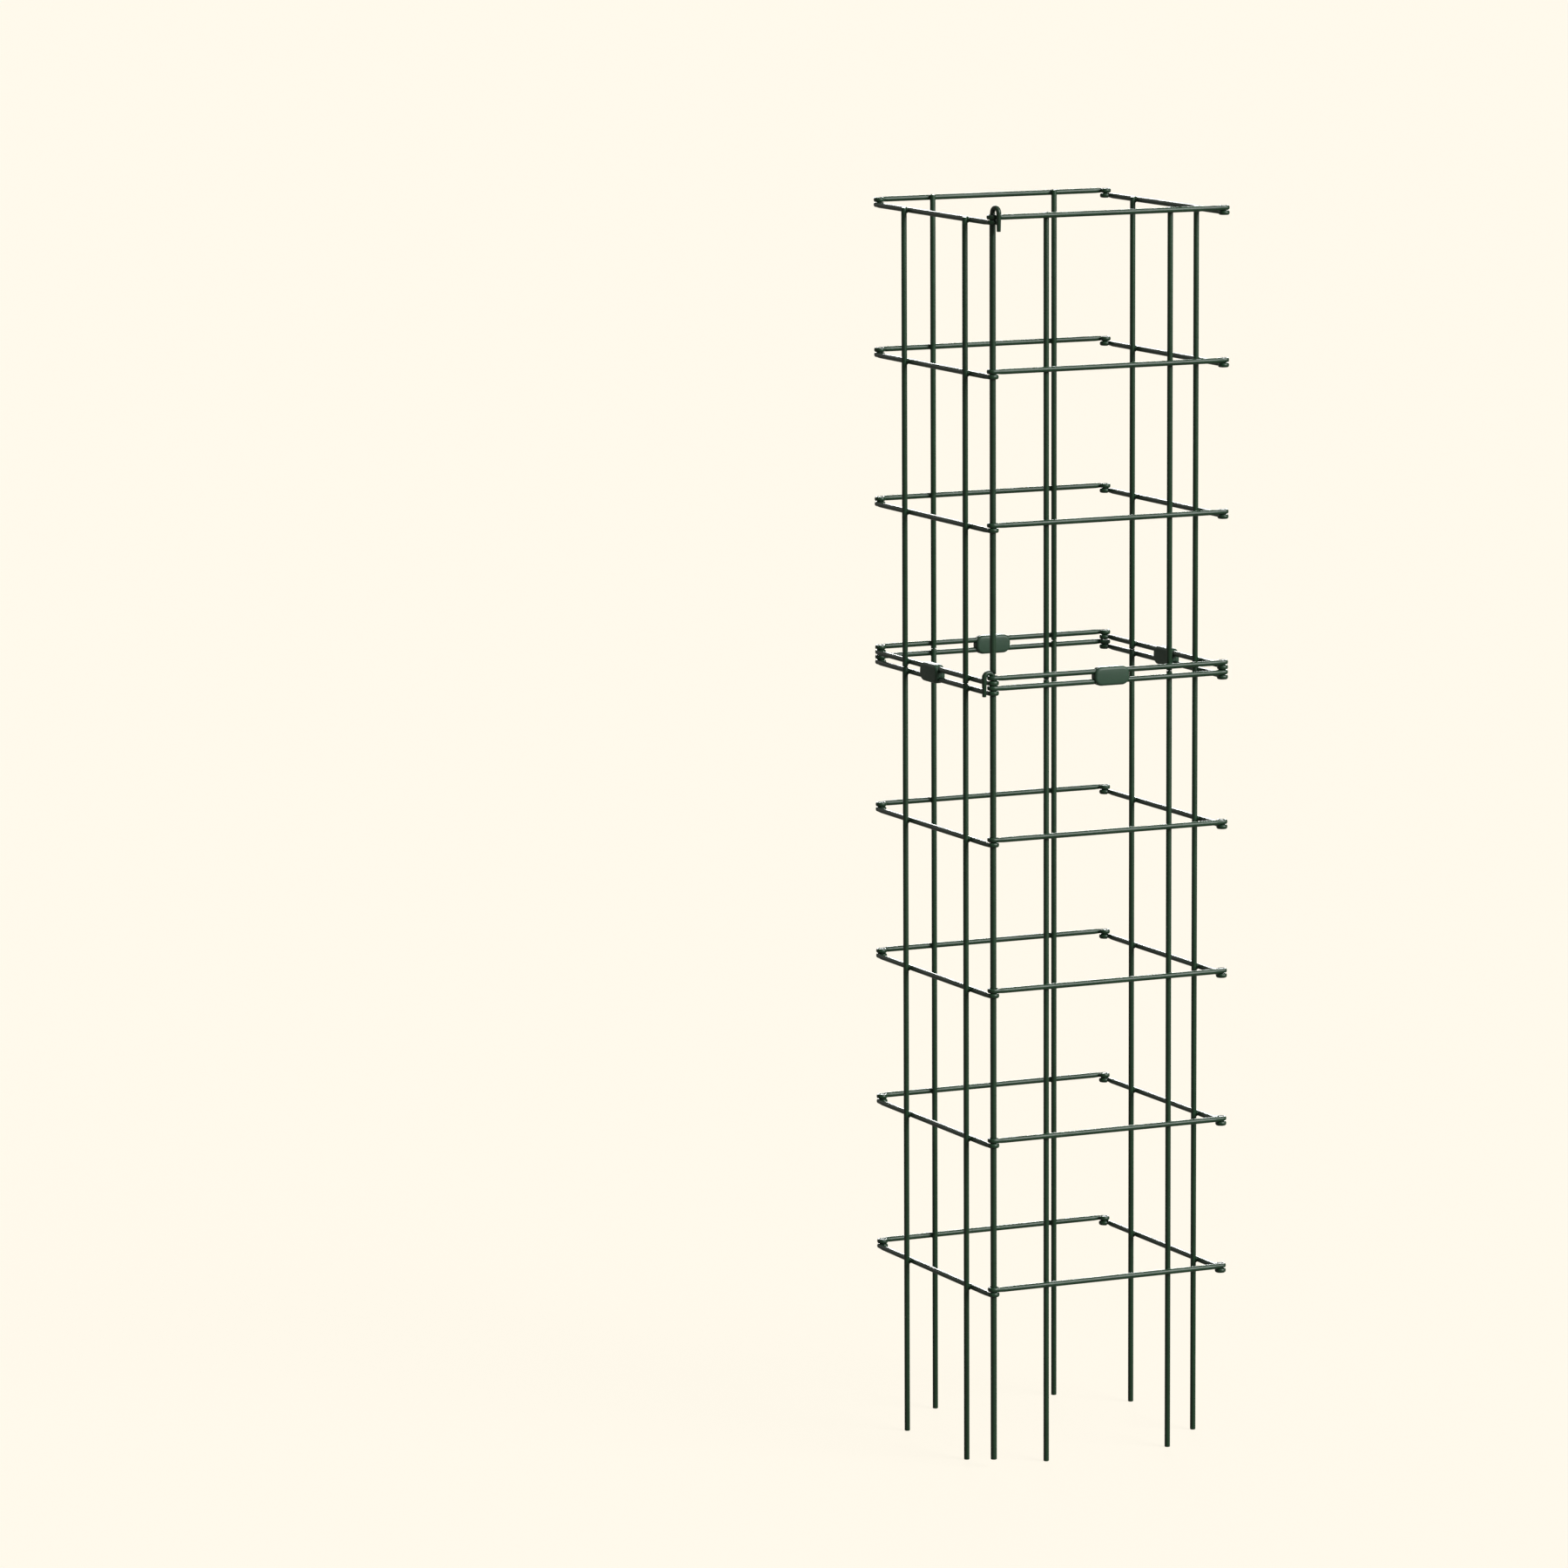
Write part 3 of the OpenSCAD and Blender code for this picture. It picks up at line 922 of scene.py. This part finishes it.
def model_clip_half(name, side):
    """One clip half on the outer (-1) or inner (1) side of the parting face, at the origin."""
    wire = bpy.context.scene.cage_wire
    clip = bpy.context.scene.cage_clips
    corner_steps, edge_steps, fine_edge, peg_root = 10, 6, 0.25 * MM, 1 * MM
    face = side * clip.part_gap / 2
    back = side * clip.depth / 2
    deselect()
    bpy.ops.mesh.primitive_cube_add(size=1, location=(0, (face + back) / 2, 0))
    bpy.context.object.scale = (clip.length, abs(back - face), clip.height)
    bpy.ops.object.transform_apply()
    bpy.ops.object.mode_set(mode="EDIT")
    select_edges(lambda a, b: abs(a.y - b.y) > NEAR)
    bpy.ops.mesh.bevel(
        offset=clip.corner, offset_type="OFFSET", segments=corner_steps, profile=0.5, affect="EDGES"
    )
    select_edges(lambda a, b: abs(a.y - back) < NEAR and abs(b.y - back) < NEAR)
    bpy.ops.mesh.bevel(
        offset=clip.edge, offset_type="OFFSET", segments=edge_steps, profile=0.5, affect="EDGES"
    )
    bpy.ops.mesh.select_all(action="SELECT")
    bpy.ops.mesh.normals_make_consistent(inside=False)
    bpy.ops.object.mode_set(mode="OBJECT")
    piece = bpy.context.object
    along_rail = (0, math.pi / 2, 0)
    through = (math.pi / 2, 0, 0)
    for way in (-1, 1):
        rail_place = (0, 0, way * wire.stack_pitch)
        groove = rod(wire.rail / 2 + clip.grip, rail_place, 2 * clip.length, along_rail)
        cut_or_weld(piece, groove, "DIFFERENCE")
    for way in (-1, 1):
        place = way * clip.peg_spacing / 2
        if side < 0:
            root = face - peg_root
            tip = clip.part_gap / 2 + clip.peg_length
            peg = rod(clip.peg / 2, (place, (root + tip) / 2, 0), tip - root, through)
            cut_or_weld(piece, peg, "UNION")
        else:
            floor = clip.peg_length + clip.socket_depth
            hole = rod(clip.peg / 2 + clip.peg_play, (place, floor / 2, 0), floor, through)
            cut_or_weld(piece, hole, "DIFFERENCE")
    soften_edges(piece, fine_edge)
    bpy.ops.object.mode_set(mode="EDIT")
    return close_piece(name, "moulded_polypropylene")


class CAGE_OT_model_clips(bpy.types.Operator):
    """Model the two snap halves of each clip"""

    bl_idname = "cage.model_clips"
    bl_label = "Clips"

    def execute(self, context):
        wire = context.scene.cage_wire
        for half, side in (("outer", -1), ("inner", 1)):
            template = model_clip_half("clip_half", side)
            for panel in PANELS:
                piece = copy_of(template)
                piece.name = piece.data.name = f"{panel}_clip_{half}_moulding"
                piece.location = (0, -wire.rail_offset, 0)
                bpy.ops.object.transform_apply()
                height = joint_height(wire) - wire.stack_pitch - panel_drop(wire, panel)
                set_on_panel(piece, panel, height)
                hand_over(piece, f"{panel}_clip_{half}", "clip_plastic", f"{panel}_clip_{half}")
            remove([template])
        return {"FINISHED"}


def seen_directly(tree, mirror_share):
    """Tells what the camera and reflections see of the backdrop from what only lights the object."""
    path = add_node(tree, "ShaderNodeLightPath")
    mirrored = add_node(
        tree,
        "ShaderNodeMath",
        settings={"operation": "MULTIPLY"},
        inputs={0: path.outputs["Is Glossy Ray"], 1: mirror_share},
    )
    through = add_node(
        tree,
        "ShaderNodeMath",
        settings={"operation": "MAXIMUM"},
        inputs={0: mirrored.outputs[0], 1: path.outputs["Is Transmission Ray"]},
    )
    seen = add_node(
        tree,
        "ShaderNodeMath",
        settings={"operation": "MAXIMUM"},
        inputs={0: through.outputs[0], 1: path.outputs["Is Camera Ray"]},
    )
    return seen.outputs[0]


def camera_turn(stage):
    """Turn of the camera from its heading, dip and roll."""
    heading, dip, roll = stage.azimuth, stage.dip, stage.roll
    level = Vector((math.sin(heading), math.cos(heading), 0))
    ahead = level * math.cos(dip) - Vector((0, 0, math.sin(dip)))
    right = Vector((math.cos(heading), -math.sin(heading), 0))
    up = right.cross(ahead)
    rolled_right = right * math.cos(roll) + up * math.sin(roll)
    rolled_up = up * math.cos(roll) - right * math.sin(roll)
    return Matrix((rolled_right, rolled_up, -ahead)).transposed().to_euler()


class CAGE_OT_build_stage(bpy.types.Operator):
    """Lay the floor, set the lights and place the camera"""

    bl_idname = "cage.build_stage"
    bl_label = "Stage"

    def execute(self, context):
        stage = context.scene.cage_stage
        scene = context.scene
        scene.view_settings.view_transform = "Standard"
        deselect()
        bpy.ops.mesh.primitive_circle_add(
            vertices=FLOOR_SIDES, radius=FLOOR_RADIUS, fill_type="NGON", location=(0, 0, -FLOOR_DROP)
        )
        floor = context.object
        floor.name = "studio_floor"
        # Seamless cream paper: matt and even, with only a faint shadow
        material, tree, _ = new_material("cream_paper")
        paper = add_node(tree, "ShaderNodeBsdfDiffuse", inputs={"Color": stage.backdrop})
        glow = add_node(
            tree, "ShaderNodeEmission", inputs={"Color": stage.backdrop, "Strength": GLOW_STRENGTH}
        )
        shown = add_node(
            tree, "ShaderNodeMixShader", inputs={0: GLOW_SHARE, 1: paper.outputs[0], 2: glow.outputs[0]}
        )
        shade = add_node(tree, "ShaderNodeBsdfDiffuse", inputs={"Color": stage.floor_shade})
        mixed = add_node(
            tree,
            "ShaderNodeMixShader",
            inputs={0: seen_directly(tree, stage.mirror_share), 1: shade.outputs[0], 2: shown.outputs[0]},
        )
        add_node(tree, "ShaderNodeOutputMaterial", inputs={"Surface": mixed.outputs[0]})
        floor.data.materials.append(material)
        world = bpy.data.worlds.new("studio")
        scene.world = world
        world.use_nodes = True
        sky = world.node_tree
        sky.nodes.clear()
        soft = add_node(sky, "ShaderNodeBackground", inputs={"Strength": stage.sky_strength})
        shown = add_node(sky, "ShaderNodeBackground", inputs={"Color": stage.backdrop})
        mixed = add_node(
            sky,
            "ShaderNodeMixShader",
            inputs={0: seen_directly(sky, stage.mirror_share), 1: soft.outputs[0], 2: shown.outputs[0]},
        )
        add_node(sky, "ShaderNodeOutputWorld", inputs={"Surface": mixed.outputs[0]})
        for name, turn, spread, setting in LAMPS:
            tilt = [math.radians(degrees) for degrees in turn]
            bpy.ops.object.light_add(type="SUN", location=(0, 0, LAMP_HEIGHT), rotation=tilt)
            lamp = context.object
            lamp.name = name
            lamp.data.energy = getattr(stage, setting)
            lamp.data.angle = math.radians(spread)
        bpy.ops.object.camera_add(location=stage.camera_place, rotation=camera_turn(stage))
        camera = context.object
        camera.data.sensor_width = SENSOR_WIDTH
        camera.data.lens = stage.lens
        camera.data.clip_end = VIEW_DEPTH
        scene.camera = camera
        return {"FINISHED"}


class CAGE_PT_sidebar(bpy.types.Panel):
    """Sidebar list of the cage's pieces"""

    bl_idname = "CAGE_PT_sidebar"
    bl_label = "Tomato Cage"
    bl_space_type = "VIEW_3D"
    bl_region_type = "UI"
    bl_category = "Tomato Cage"

    def draw(self, context):
        for operator in OPERATORS:
            self.layout.operator(operator.bl_idname)
        for name in SETTINGS:
            settings = getattr(context.scene, name)
            box = self.layout.box()
            for key in settings.__annotations__:
                box.prop(settings, key)


OPERATORS = (
    CAGE_OT_model_rails,
    CAGE_OT_model_stays,
    CAGE_OT_model_welds,
    CAGE_OT_model_rivets,
    CAGE_OT_model_pins,
    CAGE_OT_model_clips,
    CAGE_OT_build_stage,
)
SETTINGS = {
    "cage_wire": CageWireSizes,
    "cage_pins": CagePinSizes,
    "cage_clips": CageClipSizes,
    "cage_finishes": CageFinishes,
    "cage_stage": CageStage,
}
CLASSES = (*SETTINGS.values(), *OPERATORS, CAGE_PT_sidebar)


def register():
    """Registers the classes and hangs their settings on the scene."""
    for cls in CLASSES:
        bpy.utils.register_class(cls)
    for name, cls in SETTINGS.items():
        setattr(bpy.types.Scene, name, bpy.props.PointerProperty(type=cls))


def unregister():
    """Takes the settings and classes away again."""
    for name in SETTINGS:
        delattr(bpy.types.Scene, name)
    for cls in reversed(CLASSES):
        bpy.utils.unregister_class(cls)


def main():
    """Models every piece and the stage."""
    register()
    bpy.ops.cage.model_rails()
    bpy.ops.cage.model_stays()
    bpy.ops.cage.model_welds()
    bpy.ops.cage.model_rivets()
    bpy.ops.cage.model_pins()
    bpy.ops.cage.model_clips()
    bpy.ops.cage.build_stage()


if __name__ == "__main__":
    main()
